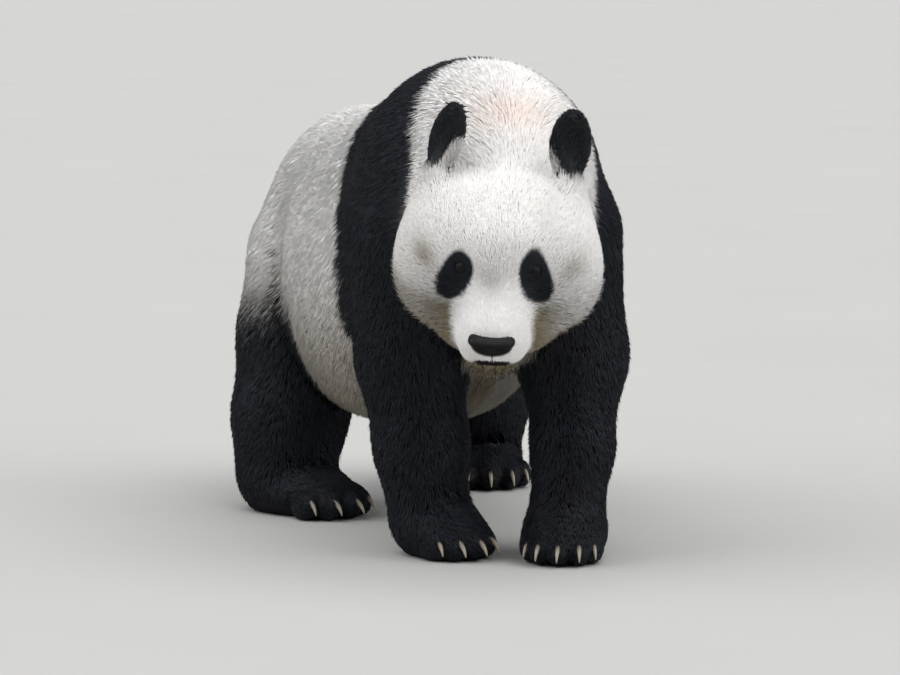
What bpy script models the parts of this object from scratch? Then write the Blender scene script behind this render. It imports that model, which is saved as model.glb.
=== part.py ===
"""A giant panda, life size, standing in mid step with its head lowered and turned to its right.

Frame: +Z up, the animal faces -Y, its right side is -X; the origin is under the middle of its box.
The body is one smooth blend of named masses (balls and tapering limbs), parted by thin cuts into
head, neck, trunk and limbs. Its surface is the outline of the coat, out to the tips of the hair.
"""

import math

import bmesh
import bpy
import numpy as np
from mathutils import Matrix, Vector

GAP = 0.0003                 # clearance between touching pieces
VOXEL = 0.008                # grain of the mesh that the masses are first fused into
BODY_TRIANGLES = 3450        # of the whole blended body, before it is parted
FIELD_STEP = 0.0005          # step of the numerical slope of the field

# Driving dimensions of the animal, coat included.
WITHERS_HEIGHT = 0.80
BACK_HEIGHT = 0.705
BELLY_HEIGHT = 0.165
SHOULDER_Y = 0.10
BARREL_Y = 0.43
HIP_Y = 0.73

HEAD_CENTRE = Vector((-0.062, -0.178, 0.503))
HEAD_TURN = math.radians(21)         # towards the animal's right
HEAD_PITCH = math.radians(32)        # muzzle down
HEAD_ROLL = math.radians(3.3)        # left side lower
NAPE = -0.114                        # along the muzzle's axis, where the head is parted from the neck
EYE_RADIUS = 0.0115
EYE_SPACING = 0.119
EYE_SINK = 0.0105                    # centre of the eyeball below the coat around it
EAR_HALF_WIDTH = 0.038
EAR_HEIGHT = 0.110
EAR_HALF_DEPTH = 0.017
EAR_ROOT_RISE = 0.006                # of the cut that parts an ear, above the ear's base
EYE_UP = 0.039                       # above the axis of the muzzle
NOSE_PLACE = (0.205, -0.004, -0.026)    # middle of the nose leather, in the head's axes
NOSE_RADII = (0.018, 0.035, 0.017)
CLAW_LENGTH = 0.038
CLAW_RADIUS = 0.0058

COLOURS = {
    "white_coat": ((0.80, 0.77, 0.71, 1.0), 0.85),
    "black_coat": ((0.012, 0.012, 0.014, 1.0), 0.80),
    "nose_leather": ((0.015, 0.014, 0.015, 1.0), 0.45),
    "eye_brown": ((0.035, 0.018, 0.010, 1.0), 0.08),
    "claw_horn": ((0.42, 0.36, 0.27, 1.0), 0.40),
}


UPWARD = Vector((0, 0, 1))


# ---------------------------------------------------------------- frames

def head_axes():
    """Columns: forward along the muzzle, to the animal's left, up out of the crown."""
    level_forward = Vector((-math.sin(HEAD_TURN), -math.cos(HEAD_TURN), 0))
    level_left = Vector((math.cos(HEAD_TURN), -math.sin(HEAD_TURN), 0))
    forward = level_forward * math.cos(HEAD_PITCH) - Vector((0, 0, math.sin(HEAD_PITCH)))
    crown = level_forward * math.sin(HEAD_PITCH) + Vector((0, 0, math.cos(HEAD_PITCH)))
    left = level_left * math.cos(HEAD_ROLL) - crown * math.sin(HEAD_ROLL)
    return Matrix((forward, left, forward.cross(left))).transposed()


HEAD_AXES = head_axes()


def in_head(forward, left, up):
    """A place given in the head's own axes, in the world."""
    return HEAD_CENTRE + HEAD_AXES @ Vector((forward, left, up))


def heading_axes(angle):
    """Level axes of a foot: forward, left, up. A positive angle turns the toes to the left."""
    forward = Vector((math.sin(angle), -math.cos(angle), 0))
    left = Vector((math.cos(angle), math.sin(angle), 0))
    return Matrix((forward, left, Vector((0, 0, 1)))).transposed()


# ---------------------------------------------------------------- masses and their field

class Ball:
    """An ellipsoid: centre, three radii, and the axes they lie along."""

    def __init__(self, centre, radii, axes=None):
        self.centre = Vector(centre)
        self.radii = Vector(radii)
        self.axes = axes or Matrix.Identity(3)

    def distance(self, points):
        local = (points - np.array(self.centre)) @ np.array(self.axes)
        radii = np.array(self.radii)
        inner = np.linalg.norm(local / radii, axis=1)
        outer = np.linalg.norm(local / radii ** 2, axis=1)
        return inner * (inner - 1) / np.maximum(outer, 1e-9)

    def add_to(self, mesh):
        place = Matrix.Translation(self.centre) @ self.axes.to_4x4() @ Matrix.Diagonal((*self.radii, 1))
        bmesh.ops.create_uvsphere(mesh, u_segments=24, v_segments=16, radius=1.0, matrix=place)


class Limb:
    """A tapering limb: the hull of a ball at its start and a ball at its end."""

    def __init__(self, start, end, start_radius, end_radius):
        self.start = Vector(start)
        self.end = Vector(end)
        self.start_radius = start_radius
        self.end_radius = end_radius

    def distance(self, points):
        start = np.array(self.start)
        axis = np.array(self.end) - start
        length2 = axis @ axis
        taper = self.start_radius - self.end_radius
        slope2 = length2 - taper ** 2
        offset = points - start
        along = offset @ axis
        beyond = along - length2
        across2 = ((offset * length2 - np.outer(along, axis)) ** 2).sum(axis=1)
        side = np.sign(taper) * taper ** 2 * across2
        near_end = np.sqrt(across2 + beyond ** 2 * length2) / length2 - self.end_radius
        near_start = np.sqrt(across2 + along ** 2 * length2) / length2 - self.start_radius
        flank = (np.sqrt(across2 * slope2 / length2) + along * taper) / length2 - self.start_radius
        past_end = np.sign(beyond) * slope2 * beyond ** 2 * length2 > side
        before_start = np.sign(along) * slope2 * along ** 2 * length2 < side
        return np.where(past_end, near_end, np.where(before_start, near_start, flank))

    def add_to(self, mesh):
        hull = bmesh.new()
        for centre, radius in ((self.start, self.start_radius), (self.end, self.end_radius)):
            place = Matrix.Translation(centre)
            bmesh.ops.create_uvsphere(hull, u_segments=20, v_segments=12, radius=radius, matrix=place)
        skin = bmesh.ops.convex_hull(hull, input=hull.verts)
        inner = [item for item in skin["geom_interior"] if isinstance(item, bmesh.types.BMVert)]
        bmesh.ops.delete(hull, geom=inner, context="VERTS")
        scratch = bpy.data.meshes.new("limb")
        hull.to_mesh(scratch)
        hull.free()
        mesh.from_mesh(scratch)
        bpy.data.meshes.remove(scratch)


class Mass:
    """Solids that flow into each other over a blend width, less any hollows."""

    def __init__(self, blend, solids, hollows=()):
        self.blend = blend
        self.solids = solids
        self.hollows = hollows

    def distance(self, points):
        depth = soft_minimum([solid.distance(points) for solid in self.solids], self.blend)
        for hollow in self.hollows:
            depth = -soft_minimum([-depth, hollow.distance(points)], self.blend / 2)
        return depth

    def add_to(self, mesh):
        for solid in self.solids:
            solid.add_to(mesh)


def soft_minimum(distances, blend):
    """The smallest of several distances, rounded over where two are nearly equal."""
    stack = np.array(distances)
    least = stack.min(axis=0)
    return least - blend * np.log(np.exp((least - stack) / blend).sum(axis=0))


# ---------------------------------------------------------------- the masses of the body

def trunk_mass():
    ribs = Ball((0.006, SHOULDER_Y + 0.05, 0.52), (0.196, 0.22, 0.225))
    withers = Ball((0.002, SHOULDER_Y + 0.03, 0.61), (0.172, 0.185, WITHERS_HEIGHT - 0.628))
    saddle = Ball((0, 0.31, 0.52), (0.170, 0.20, BACK_HEIGHT - 0.490))
    barrel_middle = (BACK_HEIGHT + BELLY_HEIGHT) / 2
    barrel_half = (BACK_HEIGHT - BELLY_HEIGHT) / 2
    barrel = Ball((0, BARREL_Y, barrel_middle), (0.200, 0.33, barrel_half - 0.008))
    bellies = [
        Ball((side * 0.070, BARREL_Y + 0.02, BELLY_HEIGHT + 0.20), (0.132, 0.25, 0.188))
        for side in (-1, 1)
    ]
    loin = Ball((0, 0.56, 0.49), (0.170, 0.27, BACK_HEIGHT - 0.513))
    rump = Ball((0.005, HIP_Y, 0.46), (0.180, 0.19, BACK_HEIGHT - 0.485))
    brisket = Limb((0, 0.03, 0.42), (0, 0.20, 0.39), 0.10, 0.115)
    return Mass(0.022, [ribs, withers, saddle, barrel, *bellies, loin, rump, brisket])


def neck_mass():
    nape = Limb(in_head(-0.07, 0, -0.022), (0.004, SHOULDER_Y - 0.03, 0.60), 0.110, 0.168)
    throat = Limb(in_head(-0.02, 0, -0.05), (0.004, SHOULDER_Y - 0.03, 0.48), 0.080, 0.125)
    return Mass(0.02, [nape, throat])


# Each ear: side, its base in the head's axes, how far its hollow is turned outward, and its lean
# towards the animal's left.
EARS = {
    "ear_right": (-1, (-0.097, -0.103, 0.076), math.radians(58), 0.42),
    "ear_left": (1, (-0.095, 0.100, 0.072), math.radians(30), 0.06),
}


def head_mass():
    skull = Ball(in_head(-0.010, -0.003, 0.004), (0.112, 0.150, 0.097), HEAD_AXES)
    brow = Ball(in_head(0.052, 0, 0.026), (0.058, 0.088, 0.058), HEAD_AXES)
    cheeks = [
        Ball(in_head(0.026, side * 0.080, -0.022), (0.090, 0.080, 0.086), HEAD_AXES)
        for side in (-1, 1)
    ]
    jowls = [
        Ball(in_head(0.060, side * 0.042, -0.066), (0.080, 0.056, 0.056), HEAD_AXES)
        for side in (-1, 1)
    ]
    jaw = Limb(in_head(0.05, 0, -0.090), in_head(0.130, 0, -0.082), 0.050, 0.030)
    bridge = Limb(in_head(0.078, 0, -0.002), in_head(0.167, -0.002, -0.036), 0.054, 0.038)
    lips = Ball(in_head(0.146, -0.002, -0.044), (0.072, 0.053, 0.040), HEAD_AXES)
    chin = Ball(in_head(0.156, -0.002, -0.074), (0.048, 0.034, 0.030), HEAD_AXES)
    ear_roots = [
        Limb(in_head(-0.060, base[1] * 0.88, -0.005), in_head(*base) - UPWARD * 0.012, 0.055, 0.026)
        for _, base, _, _ in EARS.values()
    ]
    return Mass(0.011, [skull, brow, *cheeks, *jowls, jaw, bridge, lips, chin, *ear_roots])


def ear_axes(side, turn, lean):
    """Columns: out of the hollow, across the ear, up the ear."""
    up = (UPWARD + HEAD_AXES.col[2] * 0.4 + HEAD_AXES.col[1] * lean).normalized()
    ahead = HEAD_AXES.col[0] - up * HEAD_AXES.col[0].dot(up)
    ahead.normalize()
    hollow = Matrix.Rotation(side * turn, 3, up) @ ahead
    return Matrix((hollow, up.cross(hollow), up)).transposed()


def ear_mass(name):
    side, base, turn, lean = EARS[name]
    axes = ear_axes(side, turn, lean)
    centre = in_head(*base) + axes.col[2] * (EAR_HEIGHT * 0.47)
    shell = Ball(centre, (EAR_HALF_DEPTH, EAR_HALF_WIDTH, EAR_HEIGHT * 0.53), axes)
    cup_radii = (0.019, EAR_HALF_WIDTH * 0.68, EAR_HEIGHT * 0.40)
    cup = Ball(centre + axes.col[0] * 0.024 - axes.col[2] * 0.006, cup_radii, axes)
    return Mass(0.006, [shell], [cup])


# Each leg: its joints from the trunk down, with the leg's half thickness at each.
LEGS = {
    "foreleg_right": [
        ((-0.115, 0.105, 0.50), 0.102),
        ((-0.113, 0.110, 0.31), 0.084),
        ((-0.104, 0.085, 0.17), 0.071),
        ((-0.098, 0.065, 0.07), 0.064),
    ],
    "foreleg_left": [
        ((0.124, 0.085, 0.50), 0.106),
        ((0.140, 0.050, 0.31), 0.083),
        ((0.118, -0.010, 0.17), 0.061),
        ((0.100, -0.035, 0.07), 0.058),
    ],
    "hindleg_right": [
        ((-0.110, 0.720, 0.42), 0.105),
        ((-0.136, 0.660, 0.29), 0.107),
        ((-0.170, 0.620, 0.16), 0.094),
        ((-0.186, 0.600, 0.07), 0.084),
    ],
    "hindleg_left": [
        ((0.115, 0.750, 0.42), 0.105),
        ((0.176, 0.740, 0.29), 0.105),
        ((0.238, 0.825, 0.15), 0.086),
        ((0.246, 0.845, 0.07), 0.070),
    ],
}

# Each paw: the middle of its sole, its heading (toes to the left is positive), half width, half length.
PAWS = {
    "forepaw_right": ((-0.084, 0.035), math.radians(22), 0.064, 0.074),
    "forepaw_left": ((0.085, -0.065), math.radians(-26), 0.064, 0.074),
    "hindpaw_right": ((-0.165, 0.540), math.radians(30), 0.068, 0.100),
    "hindpaw_left": ((0.240, 0.790), math.radians(-14), 0.064, 0.098),
}
TOE_ARC = math.radians(62)           # from the first toe to the last, seen from the heel
PAW_HEIGHT = 0.047
SOLE_DEPTH = 0.010                   # of each paw below the floor, cut away as its flat sole


def leg_mass(name):
    joints = LEGS[name]
    bones = [
        Limb(upper, lower, upper_radius, lower_radius)
        for (upper, upper_radius), (lower, lower_radius) in zip(joints, joints[1:])
    ]
    return Mass(0.014, bones)


def toes(name):
    """For each of the five toes: its centre, its outward level axes, and its radius."""
    (x, y), heading, half_width, half_length = PAWS[name]
    heel = Vector((x, y, 0)) - heading_axes(heading).col[0] * 0.045
    found = []
    for index in range(5):
        share = index / 4 - 0.5
        axes = heading_axes(heading + share * TOE_ARC)
        reach = half_length + 0.040 - 0.026 * (2 * share) ** 2
        centre = heel + axes.col[0] * reach + Vector((0, 0, 0.024))
        own_heading = heading + share * TOE_ARC * 0.55
        found.append((centre, heading_axes(own_heading), half_width * 0.30))
    return found


def paw_mass(name):
    (x, y), heading, half_width, half_length = PAWS[name]
    axes = heading_axes(heading)
    middle = Vector((x, y, PAW_HEIGHT - SOLE_DEPTH))
    pad = Ball(middle, (half_length, half_width, PAW_HEIGHT), axes)
    tips = [
        Ball(centre, (radius * 1.45, radius, radius * 1.30), toe_axes)
        for centre, toe_axes, radius in toes(name)
    ]
    return Mass(0.006, [pad, *tips])


def tail_mass():
    return Mass(0.012, [
        Limb((0, HIP_Y + 0.150, 0.51), (0, HIP_Y + 0.208, 0.43), 0.046, 0.046),
        Limb((0, HIP_Y + 0.208, 0.43), (0, HIP_Y + 0.206, 0.355), 0.046, 0.030),
    ])


MASSES = [trunk_mass(), neck_mass(), head_mass(), tail_mass()]
MASSES += [leg_mass(name) for name in LEGS]
MASSES += [paw_mass(name) for name in PAWS]
BODY = Mass(0.016, MASSES)
EAR_MASSES = [ear_mass(name) for name in EARS]


def body_distance(points):
    """Signed distance to the coat: the body and, joined more tightly, the ears."""
    return soft_minimum([BODY.distance(points)] + [ear.distance(points) for ear in EAR_MASSES], 0.004)


def surface_from(outside, direction):
    """The point where a ray from outside first meets the coat."""
    point = Vector(outside)
    for _ in range(60):
        point = point + direction * float(body_distance(np.array([point]))[0]) * 0.8
    return point


# ---------------------------------------------------------------- objects

def clear_scene():
    for item in list(bpy.data.objects):
        bpy.data.objects.remove(item, do_unlink=True)


def new_collection(name):
    collection = bpy.data.collections.new(name)
    bpy.context.scene.collection.children.link(collection)
    return collection


def make_material(name):
    colour, roughness = COLOURS[name]
    material = bpy.data.materials.new(name)
    material.use_nodes = True
    shader = material.node_tree.nodes["Principled BSDF"]
    shader.inputs["Base Color"].default_value = colour
    shader.inputs["Roughness"].default_value = roughness
    shader.inputs["Metallic"].default_value = 0.0
    material.diffuse_color = colour
    return material


def object_from(bm, name, collection):
    mesh = bpy.data.meshes.new(name)
    bm.to_mesh(mesh)
    bm.free()
    thing = bpy.data.objects.new(name, mesh)
    collection.objects.link(thing)
    return thing


def apply_modifier(thing, kind, **settings):
    """Adds one modifier, keeps its result as the object's mesh and removes it."""
    modifier = thing.modifiers.new(kind.lower(), kind)
    for key, value in settings.items():
        setattr(modifier, key, value)
    bpy.context.view_layer.update()
    shown = thing.evaluated_get(bpy.context.evaluated_depsgraph_get())
    result = bpy.data.meshes.new_from_object(shown)
    thing.modifiers.remove(modifier)
    old = thing.data
    thing.data = result
    bpy.data.meshes.remove(old)
    result.name = thing.name


def as_cutter(thing):
    thing.hide_render = True
    thing.display_type = "WIRE"
    return thing


def make_box(name, centre, axes, size, grow=0.0):
    bm = bmesh.new()
    place = Matrix.Translation(centre) @ axes.to_4x4()
    place = place @ Matrix.Diagonal([length + 2 * grow for length in size] + [1])
    bmesh.ops.create_cube(bm, size=1.0, matrix=place)
    return as_cutter(object_from(bm, name, cutters))


def copy_of(thing, name, collection):
    twin = bpy.data.objects.new(name, thing.data.copy())
    collection.objects.link(twin)
    return twin


# ---------------------------------------------------------------- the blended body

def fused_body():
    """The masses fused by a voxel remesh, then every vertex drawn onto their smooth field."""
    bm = bmesh.new()
    BODY.add_to(bm)
    for ear in EAR_MASSES:
        ear.add_to(bm)
    body = object_from(bm, "body", parts)
    apply_modifier(body, "REMESH", mode="VOXEL", voxel_size=VOXEL)
    settle_on_field(body.data)
    return body


def settle_on_field(mesh):
    count = len(mesh.vertices)
    points = np.empty(count * 3)
    mesh.vertices.foreach_get("co", points)
    points = points.reshape(count, 3)
    edges = np.empty(len(mesh.edges) * 2, dtype=int)
    mesh.edges.foreach_get("vertices", edges)
    first, second = edges.reshape(-1, 2).T
    degree = np.bincount(first, minlength=count) + np.bincount(second, minlength=count)
    for _ in range(6):
        neighbours = np.zeros_like(points)
        np.add.at(neighbours, first, points[second])
        np.add.at(neighbours, second, points[first])
        points = points + 0.5 * (neighbours / degree[:, None] - points)
        points = drawn_to_field(points)
    points = drawn_to_field(drawn_to_field(points))
    mesh.vertices.foreach_set("co", points.ravel())
    mesh.update()


def drawn_to_field(points):
    depth = body_distance(points)
    slope = np.empty_like(points)
    for axis in range(3):
        step = np.zeros(3)
        step[axis] = FIELD_STEP
        slope[:, axis] = (body_distance(points + step) - depth) / FIELD_STEP
    steepness = np.maximum((slope ** 2).sum(axis=1), 0.25)
    return points - slope * (depth / steepness)[:, None]


def thin_out(body):
    """Fewer triangles, closer together on the head and the paws."""
    group = body.vertex_groups.new(name="plain")
    head_middle = in_head(0.05, 0, 0)
    for vertex in body.data.vertices:
        on_head = (vertex.co - head_middle).length < 0.21
        on_paw = vertex.co.z < 0.07
        plain = 0.980 if on_head or on_paw else 1.0
        group.add([vertex.index], plain, "REPLACE")
    triangles = 2 * len(body.data.polygons)
    apply_modifier(
        body, "DECIMATE",
        ratio=BODY_TRIANGLES / triangles,
        use_collapse_triangulate=True,
        vertex_group="plain",
        vertex_group_factor=1.0,
    )
    body.vertex_groups.clear()


def flatten_soles(body):
    """Cuts the four paws off level at the floor."""
    bm = bmesh.new()
    bm.from_mesh(body.data)
    everything = bm.verts[:] + bm.edges[:] + bm.faces[:]
    cut = bmesh.ops.bisect_plane(bm, geom=everything, plane_co=(0, 0, 0), plane_no=(0, 0, 1), clear_inner=True)
    rim = [item for item in cut["geom_cut"] if isinstance(item, bmesh.types.BMEdge)]
    for edge in rim:
        for vertex in edge.verts:
            vertex.co.z = 0.0
    soles = bmesh.ops.holes_fill(bm, edges=rim, sides=0)
    bmesh.ops.triangulate(bm, faces=soles["faces"])
    bmesh.ops.recalc_face_normals(bm, faces=bm.faces[:])
    bm.to_mesh(body.data)
    bm.free()


# ---------------------------------------------------------------- parting

def drop_crumbs(thing):
    """Keeps the largest body of a mesh: a cut across a fold can leave loose crumbs beside it."""
    bm = bmesh.new()
    bm.from_mesh(thing.data)
    unseen = set(bm.verts)
    bodies = []
    while unseen:
        found = [unseen.pop()]
        for vertex in found:
            for edge in vertex.link_edges:
                other = edge.other_vert(vertex)
                if other in unseen:
                    unseen.remove(other)
                    found.append(other)
        bodies.append(found)
    bodies.sort(key=len, reverse=True)
    for crumb in bodies[1:]:
        bmesh.ops.delete(bm, geom=crumb, context="VERTS")
    bm.to_mesh(thing.data)
    bm.free()


def part_off(rest, name, centre, axes, size):
    """Moves what lies in a box from the rest of the body to a new part, with a thin gap between."""
    piece = copy_of(rest, name, parts)
    box = make_box("cut_" + name, centre, axes, size)
    wide_box = make_box("cut_" + name + "_gap", centre, axes, size, grow=GAP)
    apply_modifier(piece, "BOOLEAN", operation="INTERSECT", object=box, solver="EXACT")
    apply_modifier(rest, "BOOLEAN", operation="DIFFERENCE", object=wide_box, solver="EXACT")
    drop_crumbs(piece)
    drop_crumbs(rest)
    return piece


def block_beyond(point, direction, side, reach, width, height):
    """Centre, axes and size of a box with one face through a point, reaching out along a direction."""
    direction = Vector(direction).normalized()
    side = Vector(side)
    side = (side - direction * side.dot(direction)).normalized()
    axes = Matrix((direction, side, direction.cross(side))).transposed()
    return Vector(point) + direction * reach / 2, axes, (reach, width, height)


ACROSS = Vector((1, 0, 0))
WRIST_HEIGHT = 0.078
ELBOW_HEIGHT = 0.205
HOCK_HEIGHT = 0.088
KNEE_HEIGHT = 0.160


def part_ears(rest):
    pieces = []
    for name, (side, base, turn, lean) in EARS.items():
        axes = ear_axes(side, turn, lean)
        root = in_head(*base) + axes.col[2] * EAR_ROOT_RISE
        block = block_beyond(root, axes.col[2], axes.col[1], 0.16, 0.10, 0.056)
        pieces.append(part_off(rest, name, *block))
    return pieces


def part_head(rest):
    nape_plane = block_beyond(in_head(NAPE, 0, 0), HEAD_AXES @ Vector((0.932, 0, 0.363)), HEAD_AXES.col[1],
                              0.45, 0.60, 0.46)
    return part_off(rest, "head", *nape_plane)


def part_neck(rest):
    shoulder_plane = block_beyond((0, -0.005, 0.60), (-0.15, -0.93, 0.30), ACROSS, 0.30, 0.60, 0.52)
    return part_off(rest, "neck", *shoulder_plane)


def part_tail(rest):
    root_plane = block_beyond((0, HIP_Y + 0.192, 0.43), (0, 1, 0), ACROSS, 0.20, 0.20, 0.26)
    return part_off(rest, "tail", *root_plane)


def side_by_side(right, left):
    """The middle between two paws and the level direction from the right one to the left one."""
    right_foot = Vector((*PAWS[right][0], 0))
    left_foot = Vector((*PAWS[left][0], 0))
    return (right_foot + left_foot) / 2, (left_foot - right_foot).normalized()


def part_legs(rest):
    """Each leg from the floor up: its paw, its lower length and its upper length."""
    pieces = []
    for end, ankle, joint, inner, outer, front, back in (
        ("fore", WRIST_HEIGHT, ELBOW_HEIGHT, (0.036, 0.200), (0.195, 0.470), -0.22, 0.225),
        ("hind", HOCK_HEIGHT, KNEE_HEIGHT, (0.048, 0.150), (0.225, 0.440), 0.500, 1.05),
    ):
        middle, across = side_by_side(end + "paw_right", end + "paw_left")
        level_axes = Matrix((across, Vector((-across.y, across.x, 0)), Vector((0, 0, 1)))).transposed()
        climb = Vector((outer[0] - inner[0], 0, outer[1] - inner[1])).normalized()
        for word, side in (("right", -1), ("left", 1)):
            for length, top, bottom in (("paw", ankle, -0.02), ("leg_lower", joint, ankle + GAP)):
                centre = middle + across * side * 0.203 + Vector((0, 0, (top + bottom) / 2))
                size = (0.40, 0.36, top - bottom)
                pieces.append(part_off(rest, f"{end}{length}_{word}", centre, level_axes, size))
            tangent = Vector((climb.x * side, 0, climb.z))
            outward = Vector((climb.z * side, 0, -climb.x))
            place = Vector((inner[0] * side, (front + back) / 2, inner[1])) + tangent * 0.19
            block = block_beyond(place, outward, (0, 1, 0), 0.40, back - front, 0.44)
            pieces.append(part_off(rest, f"{end}leg_upper_{word}", *block))
    return pieces


def part_trunk(rest):
    """What is left becomes the chest, the barrel of the trunk and the rump."""
    chest = part_off(rest, "chest", *block_beyond((0, 0.255, 0.45), (0, -1, 0), ACROSS, 0.60, 0.80, 1.00))
    rump = part_off(rest, "rump", *block_beyond((0, 0.560, 0.45), (0, 1, 0), ACROSS, 0.60, 0.80, 1.00))
    rest.name = "trunk"
    rest.data.name = "trunk"
    return [chest, rump, rest]


# ---------------------------------------------------------------- eyes, nose and claws

def make_ball(name, centre, radii, axes, segments, collection):
    bm = bmesh.new()
    place = Matrix.Translation(centre) @ axes.to_4x4() @ Matrix.Diagonal((*radii, 1))
    bmesh.ops.create_uvsphere(bm, u_segments=segments, v_segments=segments * 2 // 3, radius=1.0, matrix=place)
    return object_from(bm, name, collection)


def inlay(host, name, centre, radii, axes, segments):
    """A ball let into its host, in a socket one gap wider than itself."""
    piece = make_ball(name, centre, radii, axes, segments, parts)
    wide = [radius + GAP for radius in radii]
    socket = as_cutter(make_ball("socket_" + name, centre, wide, axes, segments, cutters))
    apply_modifier(host, "BOOLEAN", operation="DIFFERENCE", object=socket, solver="EXACT")
    return piece


def make_eyes(head):
    eyes = []
    for word, side in (("right", -1), ("left", 1)):
        ahead = in_head(0.30, side * EYE_SPACING / 2, EYE_UP)
        lid = surface_from(ahead, -HEAD_AXES.col[0])
        outward = (HEAD_AXES @ Vector((0.80, side * 0.50, 0.30))).normalized()
        centre = lid - outward * EYE_SINK
        radii = (EYE_RADIUS, EYE_RADIUS, EYE_RADIUS)
        axes = outward.to_track_quat("Z", "Y").to_matrix()
        eyes.append(inlay(head, "eye_" + word, centre, radii, axes, 12))
    return eyes


def make_nose(head):
    centre = in_head(*NOSE_PLACE)
    tilt = HEAD_AXES @ Matrix.Rotation(math.radians(-18), 3, "Y")
    return inlay(head, "nose", centre, NOSE_RADII, tilt, 12)


def claw_curve(name, toe_centre, toe_axes, toe_radius, grow):
    """A horn that leaves the toe level and curls down in an arc, tapering to a blunt tip."""
    rings = 4
    first, last = math.radians(4), math.radians(74)
    arc_radius = CLAW_LENGTH / (last - first)
    root = toe_centre + toe_axes.col[0] * toe_radius * 0.62 + Vector((0, 0, toe_radius * 0.50))
    curve = bpy.data.curves.new(name, "CURVE")
    curve.dimensions = "3D"
    curve.bevel_depth = 1.0
    curve.bevel_resolution = 1
    curve.use_fill_caps = True
    spline = curve.splines.new("POLY")
    spline.points.add(rings - 1)
    for index in range(rings):
        share = index / (rings - 1)
        angle = first + (last - first) * share
        ahead = arc_radius * (math.sin(angle) - math.sin(first))
        down = arc_radius * (math.cos(first) - math.cos(angle))
        place = root + toe_axes.col[0] * ahead - Vector((0, 0, down))
        spline.points[index].co = (*place, 1.0)
        spline.points[index].radius = CLAW_RADIUS * (1 - 0.80 * share ** 1.5) + grow
    claw = bpy.data.objects.new(name, curve)
    bpy.context.scene.collection.objects.link(claw)
    bpy.context.view_layer.update()
    mesh = bpy.data.meshes.new_from_object(claw.evaluated_get(bpy.context.evaluated_depsgraph_get()))
    bpy.data.objects.remove(claw)
    bm = bmesh.new()
    bm.from_mesh(mesh)
    bpy.data.meshes.remove(mesh)
    bmesh.ops.remove_doubles(bm, verts=bm.verts[:], dist=0.00001)
    bmesh.ops.recalc_face_normals(bm, faces=bm.faces[:])
    return bm


def make_claws(paws):
    claws = []
    for name, paw in paws.items():
        for index, toe in enumerate(toes(name), start=1):
            claw_name = f"{name.replace('paw', 'claw')}_{index}"
            claws.append(object_from(claw_curve(claw_name, *toe, 0.0), claw_name, parts))
            socket = object_from(claw_curve("socket_" + claw_name, *toe, GAP), "socket_" + claw_name, cutters)
            as_cutter(socket)
            apply_modifier(paw, "BOOLEAN", operation="DIFFERENCE", object=socket, solver="EXACT")
    return claws


# ---------------------------------------------------------------- finish

def finish_piece(piece, material):
    piece.data.materials.clear()
    piece.data.materials.append(material)
    piece.data.shade_smooth()
    piece.data.set_sharp_from_angle(angle=math.radians(40))


def centre_over_origin(pieces):
    """Moves every mesh so that the origin is under the middle of the whole box."""
    corners = np.array([vertex.co[:] for piece in pieces for vertex in piece.data.vertices])
    low, high = corners.min(axis=0), corners.max(axis=0)
    shift = Matrix.Translation((-(low[0] + high[0]) / 2, -(low[1] + high[1]) / 2, 0))
    for thing in list(parts.objects) + list(cutters.objects):
        thing.data.transform(shift)
    return shift


clear_scene()
parts = new_collection("giant_panda")
cutters = new_collection("cutters")

body = fused_body()
thin_out(body)
flatten_soles(body)

white_pieces = [part_head(body)]
ears = part_ears(white_pieces[0])
white_pieces += [part_neck(body), part_tail(body)]
legs = part_legs(body)
white_pieces += part_trunk(body)
head = white_pieces[0]
eyes = make_eyes(head)
nose = make_nose(head)
paws = {name: parts.objects[name] for name in PAWS}
claws = make_claws(paws)

materials = {name: make_material(name) for name in COLOURS}
for piece in white_pieces:
    finish_piece(piece, materials["white_coat"])
for piece in ears + legs:
    finish_piece(piece, materials["black_coat"])
for piece in eyes:
    finish_piece(piece, materials["eye_brown"])
finish_piece(nose, materials["nose_leather"])
for piece in claws:
    finish_piece(piece, materials["claw_horn"])

SHIFT = centre_over_origin(white_pieces + ears + legs + eyes + [nose] + claws)
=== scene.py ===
"""The looks of a life-size giant panda: skin, coat of tufts, eyes, nose leather and claws.

One skin is drawn over the smooth field of the animal's masses, inside the outline of the CAD by
the depth of the coat. Tufts of hair grow from it, lie along the body and end at that outline.
Lengths are metres. Places count from the middle between the forefeet, with +Y to the tail and +X
to the animal's left; SHIFT brings them to the frame of the CAD.
"""

from collections import namedtuple
from math import ceil, cos, pi, radians, sin

import bmesh
import bpy
import numpy as np
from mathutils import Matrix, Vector
from mathutils.kdtree import KDTree


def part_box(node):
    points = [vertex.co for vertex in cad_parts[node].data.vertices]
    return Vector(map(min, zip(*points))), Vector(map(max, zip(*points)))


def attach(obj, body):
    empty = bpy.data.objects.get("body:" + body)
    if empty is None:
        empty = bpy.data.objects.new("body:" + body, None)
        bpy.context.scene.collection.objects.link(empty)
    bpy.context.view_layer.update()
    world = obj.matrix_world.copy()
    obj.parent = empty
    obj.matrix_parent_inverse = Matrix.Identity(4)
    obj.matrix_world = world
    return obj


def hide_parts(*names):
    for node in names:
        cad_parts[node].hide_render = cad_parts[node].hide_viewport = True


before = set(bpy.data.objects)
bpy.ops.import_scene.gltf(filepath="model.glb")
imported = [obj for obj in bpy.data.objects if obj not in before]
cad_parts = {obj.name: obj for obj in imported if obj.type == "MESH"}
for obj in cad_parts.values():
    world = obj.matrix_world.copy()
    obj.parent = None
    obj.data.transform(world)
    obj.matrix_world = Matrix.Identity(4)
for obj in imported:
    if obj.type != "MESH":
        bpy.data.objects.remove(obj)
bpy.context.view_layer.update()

# -------- sizes, as in the CAD

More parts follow.
